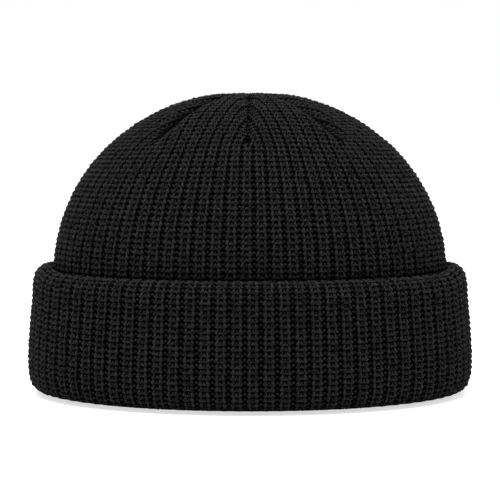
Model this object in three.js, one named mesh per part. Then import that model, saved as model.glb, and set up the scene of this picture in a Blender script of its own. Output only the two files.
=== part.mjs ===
// A ribbed knit beanie: a gored crown and a deep turned-up cuff, standing on the cuff's fold.
// Millimetres, +Z up. The front looks along -Y, the wide way of the oval is X, the floor is Z = 0.
import * as THREE from "three";
import { LoftGeometry } from "three/addons/geometries/LoftGeometry.js";
import { mergeVertices } from "three/addons/utils/BufferGeometryUtils.js";

// Size of the crown's oval at the cuff's rim, measured over the ribs
const crownHalfWidth = 89;
const crownHalfDepth = 58;

// A line once round such an oval, as a share of the line round a circle of the same width
const ovalRound = 0.83;

// Heights above the floor
const hatHeight = 136.5;
const domeFoot = 56;

// Profile of the dome: (width)^domeRound + (height)^domeRise = 1
const domeRise = 1.903;
const domeRound = 2.13;
const domeRings = 11;

// The knit: one layer's thickness, its ribs and the clearance between folded layers
const knitThickness = 4;
const layerGap = 0.45;
const crownRibs = 72;
const cuffRibs = 76;
const ribDepth = 1.8;
const ribShoulders = [0, 0.3, 0.7];
const halfRib = 0.5;

// Ribs crowd towards the narrow ends of the oval: shares of a second and a fourth harmonic
const crownSpread = { ribs: crownRibs, second: 0.048, fourth: -0.012, turn: -0.23 };
const cuffSpread = { ribs: cuffRibs, second: 0.112, fourth: 0.012, turn: 0.68 };

// The crown's darts: gores whose ribs run side by side and end on the seams between them. Each
// seam lies along the crest of a rib.
const goreCount = 8;
const dartStartHalfWidth = 63.5;
const seamDepth = 2.8;
const seamReach = 2.8;
const seamEntry = 10;
const seamSnap = 0.15;
const leastHalfWidth = 0.01;

// Where the seams meet at the top the relief softens to this share, over this half width
const apexRelief = 0.15;
const apexReach = 15;

// The crown's wall inside the cuff, down to the fold it grows out of
const skirtSections = [
  { up: 46, out: 0 },
  { up: 30, out: 0.3 },
  { up: 4.65, out: 0.9 },
];

// The cuff's folded band, as an outline once round both layers. "out" is the distance outside the
// crown's oval, "up" the height, "rib" the share of the rib relief that shows there.
const cuffSections = [
  { place: "under the wall", out: -3.6, up: 0, rib: 0 },
  { place: "floor line", out: 1.9, up: 0, rib: 0 },
  { place: "lower fold", out: 6.6, up: 1.7, rib: 0.7 },
  { place: "lower fold", out: 10.45, up: 6.4, rib: 1 },
  { place: "face, fullest", out: 11.9, up: 15.8, rib: 1 },
  { place: "face", out: 10.8, up: 34, rib: 1 },
  { place: "face, top", out: 9.25, up: 51.1, rib: 1 },
  { place: "rim", out: 8, up: 55.4, rib: 1 },
  { place: "rim", out: 5.3, up: 58, rib: 1 },
  { place: "rim crest", out: 2.9, up: 59, rib: 0.8 },
  { place: "inner layer, top", out: layerGap, up: 56.6, rib: 0 },
  { place: "inner layer", out: 0.3 + layerGap, up: 30, rib: 0 },
  { place: "hem", out: 0.8 + layerGap, up: 8, rib: 0 },
  { place: "hem", out: 4.8 + layerGap, up: 8, rib: 0 },
  { place: "between the layers", out: 4.4 + layerGap, up: 30, rib: 0 },
  { place: "between the layers", out: 4.1 + layerGap, up: 51, rib: 0 },
  { place: "outer layer's back, top", out: 5.25, up: 51, rib: 0 },
  { place: "outer layer's back", out: 6.7, up: 34, rib: 0 },
  { place: "outer layer's back", out: 7.8, up: 15.8, rib: 0 },
  { place: "lower fold's back", out: 6.1, up: 6.4, rib: 0 },
  { place: "lower fold's back", out: 2.4, up: 4.2, rib: 0 },
  { place: "under the wall", out: -3.6, up: 4.2, rib: 0 },
];

// The rim hangs lower in front and behind than at the oval's narrow ends. "from" and "to" are
// cosines of the angle from the front, between which the drop sets in.
const rimDrop = { depth: 2.2, from: 0.2, to: 0.45 };

// Dull near-black yarn
const yarn = { color: 0x17171a, roughness: 0.95, metalness: 0 };

// Angle round the oval, from the front, of a place counted in ribs
function ovalAngle(ribs, spread) {
  const turn = ((ribs + spread.turn) / spread.ribs) * 2 * Math.PI;
  return turn - spread.second * Math.sin(2 * turn) + spread.fourth * Math.sin(4 * turn);
}

// Share of its height that a level of the cuff keeps at an angle from the front
function rimShare(angle) {
  const past = (Math.abs(Math.cos(angle)) - rimDrop.from) / (rimDrop.to - rimDrop.from);
  const rimHeight = Math.max(...cuffSections.map((row) => row.up));
  return 1 - (rimDrop.depth / rimHeight) * THREE.MathUtils.smoothstep(past, 0, 1);
}

function ovalPoint(angle, halfWidth, halfDepth, up) {
  return new THREE.Vector3(halfWidth * Math.sin(angle), -halfDepth * Math.cos(angle), up);
}

function domeHalfWidth(height) {
  return crownHalfWidth * Math.pow(1 - Math.pow(height, domeRise), 1 / domeRound);
}

// Outward direction on the dome, from an ellipsoid of the same three sizes
function domeNormal(point) {
  const sizes = [crownHalfWidth, crownHalfDepth, hatHeight - domeFoot];
  return new THREE.Vector3(
    point.x / sizes[0] ** 2,
    point.y / sizes[1] ** 2,
    (point.z - domeFoot) / sizes[2] ** 2,
  ).normalize();
}

// One level ring of the dome. Above the darts' start the ribs keep their pitch, so each rib's
// distance from its gore's middle is stretched until it meets the seam, and ends there.
function domeRing(height, inside) {
  const scale = inside ? 1 - knitThickness / crownHalfWidth : 1;
  const deep = inside ? 1 - knitThickness / crownHalfDepth : 1;
  const rise = inside ? hatHeight - domeFoot - knitThickness : hatHeight - domeFoot;
  const halfWidth = domeHalfWidth(height);
  const halfDepth = (halfWidth * crownHalfDepth) / crownHalfWidth;
  const kept = Math.min(1, Math.max(halfWidth, leastHalfWidth) / dartStartHalfWidth);
  const ribsPerGore = crownRibs / goreCount;
  const seam = ribsPerGore / 2;
  const ribWidth = (2 * Math.PI * dartStartHalfWidth * ovalRound) / crownRibs;
  const entry = Math.min(1, (dartStartHalfWidth - halfWidth) / seamEntry);
  const softened = apexRelief + (1 - apexRelief) * Math.min(1, halfWidth / apexReach);
  const ring = [];
  for (let rib = 0; rib < crownRibs; rib++) {
    for (const shoulder of ribShoulders) {
      const place = inside ? 0 : shoulder;
      const across = rib + halfRib + place;
      const gore = Math.floor(across / ribsPerGore);
      const fromMiddle = across - gore * ribsPerGore - seam;
      const spread = fromMiddle / kept;
      const onSeam = Math.abs(spread) > seam - seamSnap;
      const reached = onSeam ? seam * Math.sign(spread) : spread;
      const angle = ovalAngle(gore * ribsPerGore + seam + reached, crownSpread);
      const up = domeFoot + height * rise;
      const point = ovalPoint(angle, halfWidth * scale, halfDepth * deep, up);
      const groove = inside || (place > 0 && !onSeam) ? 0 : ribDepth;
      const toSeam = (seam - Math.abs(reached)) * kept * ribWidth;
      const dip = entry > 0 ? seamDepth * entry * Math.exp(-((toSeam / seamReach) ** 2)) : 0;
      ring.push(point.addScaledVector(domeNormal(point), -(groove + dip) * softened));
    }
  }
  return ring;
}

// One ring at a distance outside the crown's oval, smooth or ribbed along its normal, level or
// sinking with the rim
function bandRing({ out, up, rib = 0 }, spread, sinks, normal) {
  const ring = [];
  for (let number = 0; number < spread.ribs; number++) {
    for (const shoulder of ribShoulders) {
      const place = rib > 0 ? shoulder : 0;
      const angle = ovalAngle(number + place, spread);
      const relief = place > 0 ? 0 : ribDepth * rib;
      const away = out - relief * normal.x;
      const level = (up - relief * normal.y) * (sinks ? rimShare(angle) : 1);
      ring.push(ovalPoint(angle, crownHalfWidth + away, crownHalfDepth + away, level));
    }
  }
  return ring;
}

// Outward direction of a closed outline at one of its corners, from the corners on either side
function outlineNormal(sections, index) {
  const before = sections[(index + sections.length - 1) % sections.length];
  const after = sections[(index + 1) % sections.length];
  return new THREE.Vector2(after.up - before.up, before.out - after.out).normalize();
}

// Skins the rings, welds shared corners and drops the faces that closed up
function closedBody(rings) {
  const loft = new LoftGeometry(rings, { closed: true });
  const bare = new THREE.BufferGeometry().setAttribute("position", loft.getAttribute("position"));
  bare.setIndex(loft.index);
  const welded = mergeVertices(bare, 1e-3);
  const corners = welded.index.array;
  const faces = [];
  for (let i = 0; i < corners.length; i += 3) {
    const [a, b, c] = [corners[i], corners[i + 1], corners[i + 2]];
    if (a !== b && b !== c && c !== a) faces.push(a, b, c);
  }
  welded.setIndex(faces);
  welded.computeVertexNormals();
  return welded;
}

// The crown: a gored dome over a plain wall that runs down inside the cuff
function crownBody() {
  const heights = [];
  for (let i = 0; i <= domeRings; i++) {
    heights.push(Math.sin((i / domeRings) * (Math.PI / 2)));
  }
  const flat = new THREE.Vector2(1, 0);
  const skirt = (inset) =>
    skirtSections.map((row) =>
      bandRing({ out: row.out - inset, up: row.up }, crownSpread, false, flat));
  return closedBody([
    ...heights.map((height) => domeRing(height, true)).reverse(),
    ...skirt(knitThickness),
    ...skirt(0).reverse(),
    ...heights.map((height) => domeRing(height, false)),
  ]);
}

// The cuff: a band of two layers, folded at the rim and turned under the wall at the floor
function cuffBody() {
  const rings = cuffSections.map((row, i) =>
    bandRing(row, cuffSpread, true, outlineNormal(cuffSections, i)));
  return closedBody([...rings, rings[0]]);
}

function piece(name, geometry) {
  const mesh = new THREE.Mesh(geometry, new THREE.MeshStandardMaterial(yarn));
  mesh.name = name;
  return mesh;
}

const beanie = new THREE.Group();
beanie.add(piece("crown", crownBody()));
beanie.add(piece("cuff", cuffBody()));

export default beanie;
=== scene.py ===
# A ribbed knit beanie with a turned-up cuff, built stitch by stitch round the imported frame.
import math

import bpy
import numpy as np
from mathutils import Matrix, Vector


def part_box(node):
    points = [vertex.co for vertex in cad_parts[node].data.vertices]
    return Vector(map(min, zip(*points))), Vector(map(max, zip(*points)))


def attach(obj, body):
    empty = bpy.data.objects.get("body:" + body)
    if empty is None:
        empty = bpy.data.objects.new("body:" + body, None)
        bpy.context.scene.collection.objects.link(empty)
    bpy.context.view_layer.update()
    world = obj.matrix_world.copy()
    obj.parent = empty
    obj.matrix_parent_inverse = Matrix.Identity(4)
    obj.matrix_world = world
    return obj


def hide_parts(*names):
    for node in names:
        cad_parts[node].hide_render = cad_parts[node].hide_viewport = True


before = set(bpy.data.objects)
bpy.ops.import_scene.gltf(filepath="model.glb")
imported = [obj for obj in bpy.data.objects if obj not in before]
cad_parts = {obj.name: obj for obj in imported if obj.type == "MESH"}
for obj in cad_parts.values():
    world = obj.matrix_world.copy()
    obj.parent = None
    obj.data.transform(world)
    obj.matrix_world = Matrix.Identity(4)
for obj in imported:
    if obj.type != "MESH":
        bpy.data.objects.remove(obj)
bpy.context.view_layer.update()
mm = 0.001
fullTurn = 2 * math.pi
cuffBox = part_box("cuff")
floorUp = cuffBox[0].z / mm
rimUp = cuffBox[1].z / mm
random = np.random.default_rng(7)


def ovalAngle(ribs, cloth):
    turn = ribs / cloth["ribs"] * fullTurn
    second, fourth = cloth["crowding"]
    return turn - second * np.sin(2 * turn) + fourth * np.sin(4 * turn)


def ovalPoint(angle, halfWidth, halfDepth, up):
    return np.stack([halfWidth * np.sin(angle), -halfDepth * np.cos(angle), up + 0 * angle], -1)


def unit(vectors):
    return vectors / np.maximum(np.linalg.norm(vectors, axis=-1, keepdims=True), 1e-9)


# Value between a table's cells, for places given as arrays of cell numbers
def lookUp(table, line, along):
    beforeLast = 1.001
    line = np.clip(line, 0, table.shape[0] - beforeLast)
    along = np.clip(along, 0, table.shape[1] - beforeLast)
    i, j = line.astype(int), along.astype(int)
    u, v = (line - i)[..., None], (along - j)[..., None]
    low = table[i, j] * (1 - u) + table[i + 1, j] * u
    high = table[i, j + 1] * (1 - u) + table[i + 1, j + 1] * u
    return low * (1 - v) + high * v


# Crown: an oval dome of eight gores, measured over the crests of its ribs, in mm.
# The painted shade in the seams' creases has a reach and a strength for each seam, from the front one
# round by +X.
crown = {
    "halfWidth": 89.0,
    "halfDepth": 58,
    "footUp": 56,
    "topUp": 136.5,
    "rise": 1.903,  # profile: (width)^round + (height)^rise = 1
    "round": 2.13,
    "ribs": 72,
    "gores": 8,
    "crowding": (0.048, -0.012),  # second and fourth harmonic of the ribs' spacing
    "turn": -0.23,
    "dartHalfWidth": 63.5,  # half width of the dome where the darts start
    "ovalRound": 0.83,  # a line once round the oval, as a share of a circle's as wide
    "leastHalfWidth": 0.01,
    "seamDepth": 2.8,  # how deep a seam pulls the cloth in, and how far to its sides
    "seamReach": 2.8,
    "seamEntry": 10,  # loss of half width over which the seams reach their full depth
    "seamGap": 0.3,  # between a rib's last stitch and the seam
    "apexShare": 0.1,  # share of the seams' depth that is left at the apex
    "apexReach": 22,
    "creaseReach": (0.9, 1.1, 1.0, 1.0, 1.0, 1.0, 1.0, 1.9),
    "creaseShade": (0.65, 0.8, 0.75, 0.75, 0.75, 0.75, 0.75, 0.95),
    # Painted shadow that the cuff's rim casts on the crown just above it
    "rimReach": 4,
    "rimShade": 0.35,
    "startUp": 52.5,  # height where the stitches start, out of sight inside the cuff
    "firstRow": 0.5,
    "rowPitch": 2.47,
    "fullness": 1.05,  # how wide a stitch is, against one that is drawn to its rib's width
}
seamRibs = crown["ribs"] / crown["gores"] / 2  # ribs from a gore's middle to its seam
dartRibWidth = fullTurn * crown["dartHalfWidth"] * crown["ovalRound"] / crown["ribs"]


def domeNormal(points):
    sizes = np.array([crown["halfWidth"], crown["halfDepth"], crown["topUp"] - crown["footUp"]])
    fromFoot = points - np.array([0, 0, crown["footUp"]])
    fromFoot[..., 2] = np.maximum(fromFoot[..., 2], 0)
    return unit(fromFoot / sizes ** 2)


# Heights and half widths of the dome's rings, from its foot to the apex
def domeRings(count):
    lift = np.sin(np.linspace(0, math.pi / 2, count))
    share = (1 - lift ** crown["rise"]).clip(0) ** (1 / crown["round"])
    return lift, share * crown["halfWidth"]


# Share of its full depth that a seam has on a ring of the dome
def seamShare(halfWidth):
    return ((crown["dartHalfWidth"] - halfWidth) / crown["seamEntry"]).clip(0, 1)


def seamDip(toSeam, halfWidth):
    nearApex = crown["apexShare"] + (1 - crown["apexShare"]) * (halfWidth / crown["apexReach"]).clip(0, 1)
    depth = crown["seamDepth"] * seamShare(halfWidth) * nearApex
    return depth * np.exp(-(toSeam / crown["seamReach"]) ** 2)


# A gore as cloth, for places given in ribs from its middle and mm along them. Its points lie in
# a table of lines beside the middle rib, with steps of equal length along each line.
class GoreCloth:
    linesPerRib = 8
    step = 0.6
    wallLevels = 14
    domeLevels = 260

    def __init__(self, gore):
        wall = np.linspace(crown["startUp"], crown["footUp"], self.wallLevels, endpoint=False)
        lift, domeHalfWidth = domeRings(self.domeLevels)
        up = np.concatenate([wall, crown["footUp"] + lift * (crown["topUp"] - crown["footUp"])])
        halfWidth = np.concatenate([np.full(self.wallLevels, crown["halfWidth"]), domeHalfWidth])
        kept = np.maximum(halfWidth, crown["leastHalfWidth"]) / crown["dartHalfWidth"]
        kept = np.minimum(1, kept)
        side = seamRibs + 1
        self.beside = np.arange(-side, side + 0.5 / self.linesPerRib, 1 / self.linesPerRib)
        reached = (self.beside[:, None] / kept).clip(-2 * seamRibs, 2 * seamRibs)
        toSeam = (seamRibs - np.abs(reached)) * kept * dartRibWidth
        angle = ovalAngle((2 * gore + 1) * seamRibs + reached + crown["turn"], crown)
        halfDepth = halfWidth * crown["halfDepth"] / crown["halfWidth"]
        points = ovalPoint(angle, halfWidth, halfDepth, up)
        points = points - domeNormal(points) * seamDip(toSeam, halfWidth)[..., None]
        # Painted crease shadow along each seam, kept as a fourth column of the table
        seams = np.where(self.beside < 0, gore, (gore + 1) % crown["gores"])
        reach = np.array(crown["creaseReach"])[seams][:, None]
        shade = np.array(crown["creaseShade"])[seams][:, None]
        creaseShadow = shade * seamShare(halfWidth) * np.exp(-(toSeam / reach) ** 2)

        run = np.linalg.norm(np.diff(points, axis=1), axis=2)
        length = np.pad(np.cumsum(run, axis=1), ((0, 0), (1, 0)))
        steps = np.arange(0, length.max() + self.step, self.step)
        columns = np.concatenate([points, creaseShadow[..., None]], axis=-1)
        even = [[np.interp(steps, length[line], column) for column in columns[line].T]
                for line in range(len(self.beside))]
        self.table = np.array(even).transpose(0, 2, 1)
        onSeam = np.abs(self.beside)[:, None] > seamRibs * kept
        first = np.where(onSeam.any(axis=1), np.argmax(onSeam, axis=1), -1)
        self.ends = length[np.arange(len(self.beside)), first]

    def read(self, ribs, along):
        return lookUp(self.table, (ribs + seamRibs + 1) * self.linesPerRib, along / self.step)

    def at(self, ribs, along, out):
        points = self.read(ribs, along)[..., :3]
        return points + domeNormal(points) * out[..., None]

    # Where a rib ends on a seam, in mm along it
    def end(self, ribs):
        return np.interp(ribs, self.beside, self.ends)

    # Painted shade: the share of light left in a seam's crease and beside the cuff's rim, painted into the
    # yarn's colour
    def light(self, ribs, along, points):
        creaseShadow = self.read(ribs, along)[..., 3]
        sideways, forwards = points[..., 0] / crown["halfWidth"], -points[..., 1] / crown["halfDepth"]
        overRim = points[..., 2] - rimUp * rimSink(np.arctan2(sideways, forwards))
        clear = (overRim / crown["rimReach"]).clip(0, 1)
        return (1 - creaseShadow) * (1 - crown["rimShade"] * (1 - clear))

    # Taken from two points that lie half a rib apart
    def ribWidth(self, ribs, along):
        middle = ribs.clip(0.5 - seamRibs, seamRibs - 0.5)
        level = np.zeros_like(ribs)
        pair = self.at(middle + 0.25, along, level) - self.at(middle - 0.25, along, level)
        return 2 * np.linalg.norm(pair, axis=-1)


# Cuff: the outline of its outer face, from under the lower fold up and over the rim, in mm.
# "out" is the distance outside the crown's oval. The hidden rows run on down behind the face.
cuff = {
    "ribs": 76,
    "crowding": (0.112, 0.012),
    "turn": 0.68,
    "rimDrop": 2.2,  # how much lower the rim hangs in front and behind than at the sides
    "dropFrom": 0.2,  # cosines of the angle from the front, between which the drop sets in
    "dropTo": 0.45,
    "panels": 4,
    "firstRow": 0.8,
    "lastRowGap": 0.5,
    "rowPitch": 2.52,
    "fullness": 1.0,
    "outline": [
        {"out": -3.6, "up": 0.0},
        {"out": -1.0, "up": 0.0},
        {"out": 1.9, "up": 0.15},
        {"out": 4.8, "up": 0.6},
        {"out": 7.5, "up": 1.2},
        {"out": 9.3, "up": 2.9},
        {"out": 10.9, "up": 6.4},
        {"out": 11.65, "up": 10.4},
        {"out": 11.9, "up": 15.8},
        {"out": 11.5, "up": 24.5},
        {"out": 10.8, "up": 34.0},
        {"out": 9.9, "up": 43.0},
        {"out": 9.3, "up": 51.1},
        {"out": 8.2, "up": 55.2},
        {"out": 6.0, "up": 57.8},
        {"out": 3.5, "up": 58.7},
        {"out": 2.0, "up": 58.3},
        {"out": 1.1, "up": 57.4},
        {"out": 0.5, "up": 55.0},
    ],
    "hidden": [
        {"out": 0.75, "up": 30},
        {"out": 1.25, "up": 8},
        {"out": 4.2, "up": 8},
        {"out": 4.2, "up": 30},
        {"out": 4.2, "up": 50.5},
        {"out": 4.9, "up": 50.5},
        {"out": 6.3, "up": 34},
        {"out": 7.4, "up": 15.8},
        {"out": 5.6, "up": 6.2},
        {"out": 2.4, "up": 4.2},
        {"out": -3.6, "up": 4.2},
    ],
}


# Share of its height that a level of the cuff keeps at an angle from the front
def rimSink(angle):
    share = (np.abs(np.cos(angle)) - cuff["dropFrom"]) / (cuff["dropTo"] - cuff["dropFrom"])
    share = share.clip(0, 1)
    return 1 - cuff["rimDrop"] / rimUp * share ** 2 * (3 - 2 * share)


# A smooth curve through the named columns of some rows
def smoothLine(rows, names, count):
    knots = np.array([[row[name] for name in names] for row in rows], float)
    ends = np.concatenate([[2 * knots[0] - knots[1]], knots, [2 * knots[-1] - knots[-2]]])
    places = np.linspace(0, len(knots) - 1, count)
    i = np.minimum(places.astype(int), len(knots) - 2)
    t = (places - i)[:, None]
    before, here, after, beyond = ends[i], ends[i + 1], ends[i + 2], ends[i + 3]
    return 0.5 * (2 * here + (after - before) * t
                  + (2 * before - 5 * here + 4 * after - beyond) * t ** 2
                  + (3 * here - before - 3 * after + beyond) * t ** 3)


# The cuff as cloth, for places given in ribs from the front and mm along its outline
class CuffCloth:
    linePoints = 400

    def __init__(self):
        self.line = smoothLine(cuff["outline"], ("out", "up"), self.linePoints)
        run = np.linalg.norm(np.diff(self.line, axis=0), axis=1)
        self.length = np.concatenate([[0], np.cumsum(run)])
        slope = np.gradient(self.line, self.length, axis=0)
        self.normal = unit(np.stack([slope[:, 1], -slope[:, 0]], -1))

    def at(self, ribs, along, out):
        away, level = (np.interp(along, self.length, values) for values in self.line.T)
        outward, upward = (np.interp(along, self.length, values) for values in self.normal.T)
        angle = ovalAngle(ribs + cuff["turn"], cuff)
        halfWidth, halfDepth = crown["halfWidth"] + away, crown["halfDepth"] + away
        points = ovalPoint(angle, halfWidth, halfDepth, level * rimSink(angle))
        normal = unit(ovalPoint(angle, halfDepth, halfWidth, 0)) * outward[..., None]
        normal[..., 2] = upward
        return points + normal * out[..., None]

    def ribWidth(self, ribs, along):
        level = np.zeros_like(ribs)
        pair = self.at(ribs + 0.25, along, level) - self.at(ribs - 0.25, along, level)
        return 2 * np.linalg.norm(pair, axis=-1)

    def light(self, ribs, along, points):
        return np.ones_like(ribs)


# Stitch, drawn on a rib 7 mm wide: "across" and "out" in mm, "along" in rows
stitch = {
    "ribWidth": 7.0,
    "rowHeight": 2.45,
    "leg": [
        {"across": 1.36, "along": 0.82, "out": -1.80, "thick": 0.0},
        {"across": 1.44, "along": 0.56, "out": -1.30, "thick": 0.36},
        {"across": 1.49, "along": 0.33, "out": -1.08, "thick": 0.48},
        {"across": 1.53, "along": 0.12, "out": -0.96, "thick": 0.62},
        {"across": 1.60, "along": -0.06, "out": -0.88, "thick": 0.80},
        {"across": 1.76, "along": -0.20, "out": -1.12, "thick": 0.97},
        {"across": 1.92, "along": -0.29, "out": -2.30, "thick": 0.0},
    ],
    "dot": [
        {"across": 0.0, "along": 0.28, "out": -1.70, "thick": 0.0},
        {"across": 0.0, "along": 0.20, "out": -0.85, "thick": 0.32},
        {"across": 0.0, "along": 0.08, "out": -0.75, "thick": 0.36},
        {"across": 0.0, "along": -0.02, "out": -1.10, "thick": 0.30},
        {"across": 0.0, "along": -0.12, "out": -1.80, "thick": 0.0},
    ],
    "band": [
        {"across": -1.35, "along": -0.52, "out": -1.75, "thick": 0.0},
        {"across": -0.68, "along": -0.33, "out": -0.85, "thick": 0.42},
        {"across": 0.0, "along": -0.10, "out": -0.66, "thick": 0.36},
        {"across": 0.68, "along": -0.33, "out": -0.85, "thick": 0.42},
        {"across": 1.35, "along": -0.52, "out": -1.75, "thick": 0.0},
    ],
    "bridge": [
        {"across": -0.95, "along": 0.96, "out": -2.6, "thick": 0.0},
        {"across": -0.42, "along": 1.06, "out": -1.45, "thick": 0.44},
        {"across": 0.0, "along": 1.12, "out": -0.95, "thick": 0.60},
        {"across": 0.42, "along": 1.06, "out": -1.45, "thick": 0.44},
        {"across": 0.95, "along": 0.96, "out": -2.6, "thick": 0.0},
    ],
    "beside": {"right": 0.22, "left": -0.22, "dot": 0.0, "band": 0.0, "bridge": -0.5},  # in ribs
    "rings": {"leg": 5, "dot": 2, "band": 3, "bridge": 3},
    "sides": {"leg": 5, "dot": 5, "band": 4, "bridge": 4},
    "flatness": 0.9,
    "outward": 0.24,  # added to every part's distance out of the cloth
    "thinning": 0.4,  # power by which the yarn thins as its rib narrows
    "bridgeSink": 0.8,
    "sizeSpread": 0.06,  # spread of the random sizes, as a share, and places in mm
    "placeSpread": 0.09,
    "floorReach": 4.5,  # height over which the yarn is pressed in, and painted darker towards the floor as painted contact shadow
    "floorSink": 0.85,
    "floorGap": 0.02,
    "floorShadowPower": 0.5,
    "flatReach": 5.5,  # length under the lower fold where it lies flat
    "shadeDepth": 2.4,  # depth under the crests where no light is left
}


# A part of the stitch as a closed, tapered run of yarn, to copy: its rings' middles and each
# corner's offset from them, its faces, and the corners' places along and round the yarn
def strand(part):
    rings, sides = stitch["rings"][part], stitch["sides"][part]
    line = smoothLine(stitch[part], ("across", "along", "out", "thick"), rings + 2)
    middles, thick = line[:, :3].copy(), line[:, 3]
    sized = middles * np.array([1, stitch["rowHeight"], 1])
    direction = unit(np.gradient(sized, axis=0))
    sideways = unit(np.cross(direction, np.array([0.0, 0.0, 1.0])))
    upward = np.cross(sideways, direction) * stitch["flatness"]
    run = np.concatenate([[0], np.cumsum(np.linalg.norm(np.diff(sized, axis=0), axis=1))])
    centres, offsets = [middles[0]], [np.zeros(3)]
    for ring in range(1, rings + 1):
        for side in range(sides):
            turn = fullTurn * side / sides
            centres.append(middles[ring])
            offsets.append((sideways[ring] * math.cos(turn) + upward[ring] * math.sin(turn)) * thick[ring])
    centres.append(middles[-1])
    offsets.append(np.zeros(3))
    faces, places = [], []
    last, lastRing = rings * sides + 1, 1 + (rings - 1) * sides
    for side in range(sides):
        after = (side + 1) % sides
        left, right = side / sides, (side + 1) / sides
        faces.append([0, 1 + after, 1 + side, -1])
        places.append([(run[0], left), (run[1], right), (run[1], left), (0, 0)])
        for ring in range(rings - 1):
            low, high = 1 + ring * sides, 1 + (ring + 1) * sides
            faces.append([low + side, low + after, high + after, high + side])
            places.append([(run[ring + 1], left), (run[ring + 1], right),
                           (run[ring + 2], right), (run[ring + 2], left)])
        faces.append([lastRing + side, lastRing + after, last, -1])
        places.append([(run[rings], left), (run[rings], right), (run[-1], left), (0, 0)])
    return {"centres": np.array(centres), "offsets": np.array(offsets),
            "faces": np.array(faces), "places": np.array(places)}


def mirrored(template):
    flip = np.array([-1, 1, 1])
    faces = template["faces"].copy()
    places = template["places"].copy()
    for row, corners in enumerate(template["faces"]):
        used = 4 if corners[3] >= 0 else 3
        faces[row, :used] = corners[:used][::-1]
        places[row, :used] = template["places"][row, :used][::-1]
    return {"centres": template["centres"] * flip, "offsets": template["offsets"] * flip,
            "faces": faces, "places": places}


# A mesh object from arrays in mm. A face row ending in -1 is a triangle.
def makeMesh(name, points, faces, places, tones, paintedLight):
    mesh = bpy.data.meshes.new(name)
    corners = np.where(faces[:, 3] < 0, 3, 4)
    used = np.arange(4)[None] < corners[:, None]
    mesh.vertices.add(len(points))
    mesh.vertices.foreach_set("co", (points * mm).astype(np.float32).ravel())
    mesh.loops.add(int(corners.sum()))
    mesh.loops.foreach_set("vertex_index", faces[used].astype(np.int32))
    mesh.polygons.add(len(faces))
    starts = np.concatenate([[0], np.cumsum(corners)[:-1]]).astype(np.int32)
    mesh.polygons.foreach_set("loop_start", starts)
    mesh.polygons.foreach_set("loop_total", corners.astype(np.int32))
    mesh.polygons.foreach_set("use_smooth", np.ones(len(faces), bool))
    layer = mesh.uv_layers.new(name="yarnPlace")
    layer.data.foreach_set("uv", places[used].astype(np.float32).ravel())
    # Each corner carries its stitch's random tone and its painted light, the shade that the materials
    # paint into the colour
    for layerName, values in (("tone", tones), ("paintedLight", paintedLight)):
        layer = mesh.attributes.new(layerName, "FLOAT", "POINT")
        layer.data.foreach_set("value", values.astype(np.float32))
    mesh.update()
    mesh.validate()
    piece = bpy.data.objects.new(name, mesh)
    bpy.context.collection.objects.link(piece)
    return piece


# One mesh of many copies of the stitch's parts, each bent onto the cloth
def knitMesh(name, cloth, spots, sizes):
    points, faces, places, tones, paintedLight, base = [], [], [], [], [], 0
    for part, template in templates.items():
        ribs, along = spots[part]
        count, corners = len(ribs), len(template["centres"])
        width = cloth.ribWidth(ribs, along)
        narrow = width / stitch["ribWidth"]
        size = narrow ** stitch["thinning"] * (1 + random.normal(0, stitch["sizeSpread"], count))
        shift = random.normal(0, stitch["placeSpread"], (count, 3))
        sink = stitch["bridgeSink"] * (1 - narrow).clip(0, 1) * (part == "bridge")

        # Copies of the template, in mm across the rib, along it and out of the cloth
        scale = np.stack([narrow * sizes["fullness"], np.full(count, sizes["rowPitch"]), size], -1)
        local = template["centres"] * scale[:, None]
        local = local + template["offsets"] * size[:, None, None] + shift[:, None]
        local[..., 2] -= sink[:, None]
        besides = ribs[:, None] + local[..., 0] / width[:, None]
        alongs = along[:, None] + local[..., 1]

        # Bent onto the cloth, and pressed in near the floor
        onCloth = cloth.at(besides, alongs, 0 * besides)
        lift = ((onCloth[..., 2] - floorUp) / stitch["floorReach"]).clip(0, 1)
        past = (along / stitch["flatReach"]).clip(0, 1)[:, None]
        local[..., 2] += stitch["outward"] * lift - stitch["floorSink"] * (1 - lift) * past
        placed = cloth.at(besides, alongs, local[..., 2])
        placed[..., 2] = np.maximum(placed[..., 2], floorUp + stitch["floorGap"])
        points.append(placed.reshape(-1, 3))

        starts = base + np.arange(count)[:, None, None] * corners
        faces.append(np.where(template["faces"] < 0, -1, template["faces"] + starts).reshape(-1, 4))
        places.append(np.tile(template["places"], (count, 1, 1)))
        tones.append(np.repeat(random.uniform(0, 1, count), corners))

        # Painted light: the light that reaches a corner, from its depth and its place on the hat, painted
        # into the yarn's colour as shade in the stitches' hollows, in the seams' creases, under the cuff's
        # rim and as contact shadow near the floor
        depth = template["centres"][:, 2] + template["offsets"][:, 2] - sink[:, None]
        lit = (1 + depth / stitch["shadeDepth"]).clip(0, 1)
        light = cloth.light(besides, alongs, placed)
        paintedLight.append((lit * light * lift ** stitch["floorShadowPower"]).ravel())
        base += count * corners
    return makeMesh(name, *(np.concatenate(rows) for rows in (points, faces, places, tones, paintedLight)))


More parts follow.
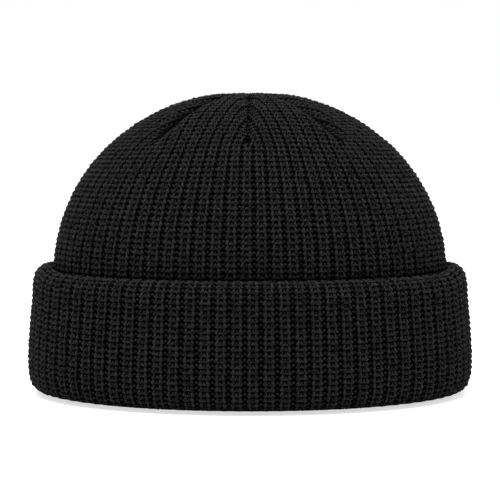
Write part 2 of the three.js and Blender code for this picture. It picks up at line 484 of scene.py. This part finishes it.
# A shader value, whose operators add Math nodes
class Wire:
    def __init__(self, tree, socket):
        self.tree = tree
        self.socket = socket

    def math(self, operation, *others):
        return mathOf(self.tree, operation, self, *others)

    def __add__(self, other):
        return self.math("ADD", other)

    def __radd__(self, other):
        return mathOf(self.tree, "ADD", other, self)

    def __sub__(self, other):
        return self.math("SUBTRACT", other)

    def __rsub__(self, other):
        return mathOf(self.tree, "SUBTRACT", other, self)

    def __mul__(self, other):
        return self.math("MULTIPLY", other)

    def __rmul__(self, other):
        return mathOf(self.tree, "MULTIPLY", other, self)

    def __truediv__(self, other):
        return self.math("DIVIDE", other)

    def __rtruediv__(self, other):
        return mathOf(self.tree, "DIVIDE", other, self)

    # A row of humps from 0 to 1, one for each whole number
    def humps(self):
        return (self * math.pi).math("SINE").math("ABSOLUTE")

    def output(self, key):
        return Wire(self.tree, self.socket.node.outputs[key])


# Adds a node: its settings first, then values or links for its sockets by name or number
def nodeOf(tree, kind, settings, sockets, output=0):
    node = tree.nodes.new(kind)
    for key, value in settings.items():
        setattr(node, key, value)
    for key, value in sockets.items():
        if isinstance(value, Wire):
            tree.links.new(value.socket, node.inputs[key])
        else:
            node.inputs[key].default_value = value
    return Wire(tree, node.outputs[output])


def mathOf(tree, operation, *values):
    return nodeOf(tree, "ShaderNodeMath", {"operation": operation}, dict(enumerate(values)))


def noiseOf(tree, scale, detail, roughness=0.5):
    place = nodeOf(tree, "ShaderNodeTexCoord", {}, {}, "Object")
    sockets = {"Vector": place, "Scale": scale, "Detail": detail, "Roughness": roughness}
    return nodeOf(tree, "ShaderNodeTexNoise", {}, sockets)


# A value or place that the mesh carries
def attributeOf(tree, name, output):
    return nodeOf(tree, "ShaderNodeAttribute", {"attribute_name": name}, {}, output)


def placeOf(tree):
    place = nodeOf(tree, "ShaderNodeUVMap", {"uv_map": "yarnPlace"}, {})
    return nodeOf(tree, "ShaderNodeSeparateXYZ", {}, {0: place})


def newMaterial(name):
    material = bpy.data.materials.new(name)
    material.use_nodes = True
    tree = material.node_tree
    shader = next(node for node in tree.nodes if node.type == "BSDF_PRINCIPLED")
    return material, tree, shader


# Colour between the look's deep and lit one, with roughness and bump
def setLook(tree, shader, look, share, fibre, height):
    blend = {0: share, 6: (*look["deep"], 1), 7: (*look["lit"], 1)}
    colour = nodeOf(tree, "ShaderNodeMix", {"data_type": "RGBA"}, blend, 2)
    roughness = look["roughness"] + look["fibreRoughness"] * fibre
    relief = {"Strength": look["bump"], "Distance": look["bumpHeight"], "Height": height}
    normal = nodeOf(tree, "ShaderNodeBump", {}, relief)
    for wire, socket in ((colour, "Base Color"), (roughness, "Roughness"), (normal, "Normal")):
        tree.links.new(wire.socket, shader.inputs[socket])
    shader.inputs["Specular IOR Level"].default_value = look["gloss"]


# Spun black yarn: plies that wind round it, a fibre grain and a little fuzz
blackYarn = {
    "plyPitch": 1.1,
    "plies": 2,
    "fibreScale": 1400,
    "fibreDetail": 3.0,
    "fibreBlur": 0.65,
    "patchScale": 60,
    "patchDetail": 2.0,
    "base": 0.15,
    "toneShare": 0.65,
    "plyShare": 0.15,
    "patchShare": 0.3,
    "grain": 6.5,
    "plyRelief": 0.6,
    "fibreRelief": 0.8,
    # The yarn's grain and tone vary between deep and lit, and deep is also the colour in full painted
    # shade
    "deep": (0.0006, 0.0006, 0.0006),
    "lit": (0.0128, 0.0128, 0.013),
    "roughness": 0.78,
    "fibreRoughness": 0.12,
    "bump": 0.55,
    "bumpHeight": 0.00022,
    "gloss": 0.028,
    "sheen": 0.036,
    "sheenRoughness": 0.45,
    "shadowMixGain": 1.5,
}


def yarnMaterial(name, look):
    material, tree, shader = newMaterial(name)
    along = placeOf(tree)
    around = along.output("Y")
    tone = attributeOf(tree, "tone", "Fac")
    paintedLight = attributeOf(tree, "paintedLight", "Fac")
    ply = (along / look["plyPitch"] + around * look["plies"]).humps()
    fibre = noiseOf(tree, look["fibreScale"], look["fibreDetail"], look["fibreBlur"])
    patch = noiseOf(tree, look["patchScale"], look["patchDetail"])
    grain = (fibre - 0.5) * look["grain"]
    patches = look["plyShare"] * ply + look["patchShare"] * patch
    # The colour runs from deep to lit by the painted light times the yarn's own tone, grain, plies and
    # patches
    share = paintedLight * (look["base"] + look["toneShare"] * tone + grain + patches)
    setLook(tree, shader, look, share, fibre, ply * look["plyRelief"] + fibre * look["fibreRelief"])
    shader.inputs["Sheen Weight"].default_value = look["sheen"]
    shader.inputs["Sheen Roughness"].default_value = look["sheenRoughness"]
    # Painted shade: where the painted light is low, a plain near-black shader is mixed in over the lit
    # one, so that the sheen fades there too
    shadow = nodeOf(tree, "ShaderNodeBsdfDiffuse", {}, {"Color": (*look["deep"], 1)})
    lightLeft = (paintedLight * look["shadowMixGain"]).math("MINIMUM", 1)
    mixed = {0: lightLeft, 1: shadow, 2: Wire(tree, shader.outputs[0])}
    surface = nodeOf(tree, "ShaderNodeMixShader", {}, mixed)
    output = next(node for node in tree.nodes if node.type == "OUTPUT_MATERIAL")
    tree.links.new(surface.socket, output.inputs["Surface"])
    return material


# The knit's plain side: the same ribs and rows as relief and as painted shade on that relief
plainSide = {
    "slant": 0.45,  # rows that a loop rises from a valley to its crest
    "valleyRelief": 0.4,
    "fibreRelief": 0.35,
    "loopShare": 0.7,
    "fibreShare": 0.3,
    "fibreScale": 2200,
    "fibreDetail": 3.0,
    "fibreBlur": 0.65,
    # deep is the colour in full painted shade, lit the colour in full light
    "deep": (0.0015, 0.0015, 0.0015),
    "lit": (0.014, 0.014, 0.0142),
    "roughness": 0.85,
    "fibreRoughness": 0.1,
    "bump": 0.9,
    "bumpHeight": 0.0009,
    "gloss": 0.005,
}


def plainSideMaterial(name, look):
    material, tree, shader = newMaterial(name)
    ribs = placeOf(tree)
    rows = ribs.output("Y")
    paintedLight = attributeOf(tree, "paintedLight", "Fac")
    fibre = noiseOf(tree, look["fibreScale"], look["fibreDetail"], look["fibreBlur"])
    fromCrest = ribs.humps()
    loops = (rows + fromCrest * look["slant"]).humps()
    raised = look["valleyRelief"] + (1 - look["valleyRelief"]) * fromCrest
    share = (look["loopShare"] * loops + look["fibreShare"] * fibre) * paintedLight
    setLook(tree, shader, look, share, fibre, loops * raised + look["fibreRelief"] * fibre)
    return material


yarn = yarnMaterial("blackYarn", blackYarn)
backingKnit = plainSideMaterial("backingKnit", plainSide)
leg = strand("leg")
templates = {"right": leg, "left": mirrored(leg), "dot": strand("dot"), "band": strand("band"),
             "bridge": strand("bridge")}
cuffCloth = CuffCloth()
print("yarn and cloth set up")


def finishPiece(piece, material, node):
    piece.data.materials.append(material)
    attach(piece, "root")
    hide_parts(node)


# Where a gore's stitches lie: every rib's rows, up to the seam that it ends on
def goreSpots(cloth):
    spots = {}
    ribCount = crown["ribs"] // crown["gores"]
    for part, aside in stitch["beside"].items():
        ribs, along = [], []
        for rib in range(ribCount):
            middle = rib + 1 - ribCount / 2
            nearest = seamRibs - abs(seamRibs - abs(middle + aside))
            end = cloth.end(nearest) - crown["seamGap"]
            rows = np.arange(crown["firstRow"], end, crown["rowPitch"])
            ribs.append(np.full(len(rows), middle + aside * (part == "bridge")))
            along.append(rows)
        spots[part] = np.concatenate(ribs), np.concatenate(along)
    return spots


def panelSpots(panel):
    ribCount = cuff["ribs"] // cuff["panels"]
    middles = np.arange(ribCount) + panel * ribCount + 0.5
    end = cuffCloth.length[-1] - cuff["lastRowGap"]
    rows = np.arange(cuff["firstRow"], end, cuff["rowPitch"])
    ribs, along = (grid.ravel() for grid in np.meshgrid(middles, rows, indexing="ij"))
    return {part: (ribs + 0.5 * (part == "bridge"), along) for part in templates}


for gore in range(crown["gores"]):
    cloth = GoreCloth(gore)
    piece = knitMesh(f"crown_gore_{gore + 1}", cloth, goreSpots(cloth), crown)
    finishPiece(piece, yarn, "crown")
print("crown stitches made")

for panel in range(cuff["panels"]):
    piece = knitMesh(f"cuff_panel_{panel + 1}", cuffCloth, panelSpots(panel), cuff)
    finishPiece(piece, yarn, "cuff")
print("cuff stitches made")

# Backing: the cloth behind the stitches, and how deep its two faces lie under the crests
backing = {
    "crest": 1.4,
    "valley": 2.4,
    "atFloor": 0.55,
    "floorReach": 9,
    "inside": 4.0,
    "insideRelief": 0.9,
    "columnsPerRib": 4,
    "domeRings": 56,
    "cuffRings": 52,
    "softHalfWidth": 30,  # half width of the dome under which the ribs' relief fades out
    "leastArea": 1e-6,
    "wall": [
        {"up": 4.7, "out": 0.9},
        {"up": 17, "out": 0.6},
        {"up": 30, "out": 0.3},
        {"up": 44, "out": 0},
    ],
}


# Places round a cloth, in ribs
def backingColumns(cloth):
    return np.arange(cloth["ribs"] * backing["columnsPerRib"]) / backing["columnsPerRib"]


# 0 on the crest of a rib and 1 in the valley between two, for ribs whose valleys are whole numbers
def valleyShare(ribs):
    return 0.5 + 0.5 * np.cos(fullTurn * ribs)


# A closed grid of rings, with each corner's place in ribs and rows and a painted light for each ring,
# where 0 paints the ring as near-black shade
def ringBody(name, rings, ribs, rows, lit):
    levels, count = rings.shape[:2]
    i, j = np.meshgrid(np.arange(levels), np.arange(count), indexing="ij")
    up, beside = (i + 1) % levels, (j + 1) % count
    corners = [(i, j), (i, beside), (up, beside), (up, j)]
    faces = np.stack([level * count + place for level, place in corners], -1).reshape(-1, 4)
    places = np.stack([np.stack([ribs[corner], rows[corner]], -1) for corner in corners], -2)
    paintedLight = np.repeat(np.asarray(lit, float), count)
    points = rings.reshape(-1, 3)
    one, other = (points[faces[:, corner + 2]] - points[faces[:, corner]] for corner in (0, 1))
    wide = np.linalg.norm(np.cross(one, other), axis=1) > backing["leastArea"]
    return makeMesh(name, points, faces[wide], places.reshape(-1, 4, 2)[wide], paintedLight, paintedLight)


# One face of the crown's wall and dome, for its depth on the crests and in the valleys
def crownFace(crest, valley, wallInset):
    across = backingColumns(crown)
    gore, inGore = np.divmod(across, 2 * seamRibs)
    fromMiddle = inGore - seamRibs
    angle = ovalAngle(across + crown["turn"], crown)
    rings = []
    for row in backing["wall"]:
        out = row["out"] - wallInset
        points = ovalPoint(angle, crown["halfWidth"] + out, crown["halfDepth"] + out, row["up"])
        rings.append((points, across, np.full(len(across), row["up"])))
    top = crown["topUp"] - crown["footUp"]
    for height, halfWidth in zip(*domeRings(backing["domeRings"])):
        halfDepth = halfWidth * crown["halfDepth"] / crown["halfWidth"]
        kept = min(1, halfWidth / crown["dartHalfWidth"])
        points = ovalPoint(angle, halfWidth, halfDepth, crown["footUp"] + height * top)
        toSeam = (seamRibs - np.abs(fromMiddle)) * kept * dartRibWidth
        ribs = (2 * gore + 1) * seamRibs + fromMiddle * kept
        relief = valleyShare(ribs + 0.5) * min(1, halfWidth / backing["softHalfWidth"])
        depth = seamDip(toSeam, halfWidth) + crest + (valley - crest) * relief
        rows = np.full(len(across), crown["footUp"] + math.asin(height) * top)
        rings.append((points - domeNormal(points) * depth[:, None], ribs, rows))
    return rings


# The crown's wall from the fold it grows out of up to the apex, and down again inside
def crownBacking():
    inside, relief = backing["inside"], backing["insideRelief"]
    outer = crownFace(backing["crest"], backing["valley"], 0)
    inner = crownFace(inside - relief / 2, inside + relief / 2, inside)
    loop = (outer + inner[::-1])[::-1]
    rings, ribs, rows = (np.array([ring[part] for ring in loop]) for part in range(3))
    # Painted shade: the outer face, which shows only in the gaps between the stitches, is painted
    # near-black; the inner face has the plain side's colour
    lit = [1] * len(inner) + [0] * len(outer)
    return ringBody("crown_backing", rings, ribs, rows / crown["rowPitch"], lit)


# The cuff's folded layers behind its stitches: the outer face, then the faces that the folds hide
def cuffBacking():
    across = backingColumns(cuff)
    along = np.linspace(0, cuffCloth.length[-1], backing["cuffRings"])
    depth = backing["crest"] + (backing["valley"] - backing["crest"]) * valleyShare(across)
    rings = []
    for level in along:
        place = np.full(len(across), level)
        up = cuffCloth.at(across, place, 0 * across)[:, 2] - floorUp
        raised = (up / backing["floorReach"]).clip(0, 1)
        share = backing["atFloor"] + (1 - backing["atFloor"]) * raised
        share = share * min(1, level / stitch["flatReach"])
        rings.append(cuffCloth.at(across, place, -depth * share))
    angle = ovalAngle(across + cuff["turn"], cuff)
    for row in cuff["hidden"]:
        halfWidth, halfDepth = crown["halfWidth"] + row["out"], crown["halfDepth"] + row["out"]
        rings.append(ovalPoint(angle, halfWidth, halfDepth, row["up"] * rimSink(angle)))
        along = np.append(along, along[-1] + cuff["rowPitch"])
    rings = np.array(rings)
    ribs = np.broadcast_to(across, rings.shape[:2])
    rows = np.broadcast_to(along[:, None] / cuff["rowPitch"], rings.shape[:2])
    # Painted shade: the outer face behind the stitches is painted near-black; the faces that the folds
    # hide have the plain side's colour
    lit = [0] * backing["cuffRings"] + [1] * len(cuff["hidden"])
    return ringBody("cuff_backing", rings, ribs, rows, lit)


finishPiece(crownBacking(), backingKnit, "crown")
finishPiece(cuffBacking(), backingKnit, "cuff")
print("backing made")

# Camera, as the photograph was taken, with lengths in mm and the tilt in degrees
shot = {"distance": 832, "eyeUp": 133.2, "tilt": 4.712, "lens": 132.7, "sensor": 36}

camera = bpy.data.cameras.new("camera")
camera.lens = shot["lens"]
camera.sensor_width = shot["sensor"]
cameraObject = bpy.data.objects.new("camera", camera)
cameraObject.location = (0, -shot["distance"] * mm, shot["eyeUp"] * mm)
cameraObject.rotation_euler = (math.radians(90 - shot["tilt"]), 0, 0)
bpy.context.collection.objects.link(cameraObject)
bpy.context.scene.camera = cameraObject

# Studio: soft light from all round and one large lamp, with lengths in metres
studio = {
    "worldStrength": 1.0,
    "keyPower": 48,
    "keyPlace": (-0.1, -0.35, 1.3),
    "keyTilt": 16.486,
    "keyTurn": 15.945,
    "keySize": 1.2,
    "floorSize": 60,
    "floor": (0.45, 0.45, 0.45),
    "floorRoughness": 0.6,
    "floorGlow": 0.65,
    "white": (1, 1, 1, 1),
}

world = bpy.data.worlds.new("studio")
bpy.context.scene.world = world
world.use_nodes = True
background = world.node_tree.nodes["Background"]
background.inputs["Color"].default_value = studio["white"]
background.inputs["Strength"].default_value = studio["worldStrength"]
key = bpy.data.lights.new("key", "AREA")
key.energy = studio["keyPower"]
key.size = studio["keySize"]
keyObject = bpy.data.objects.new("key", key)
keyObject.location = studio["keyPlace"]
keyObject.rotation_euler = (math.radians(studio["keyTilt"]), 0, math.radians(studio["keyTurn"]))
bpy.context.collection.objects.link(keyObject)
bpy.ops.mesh.primitive_plane_add(size=studio["floorSize"], location=(0, 0, floorUp * mm))
floor = bpy.context.object
floor.name = "floor"
material, tree, shader = newMaterial("paleFloor")
shader.inputs["Base Color"].default_value = (*studio["floor"], 1)
shader.inputs["Roughness"].default_value = studio["floorRoughness"]
shader.inputs["Emission Color"].default_value = studio["white"]
shader.inputs["Emission Strength"].default_value = studio["floorGlow"]
floor.data.materials.append(material)
bpy.context.scene.view_settings.view_transform = "Standard"
print("stage set")
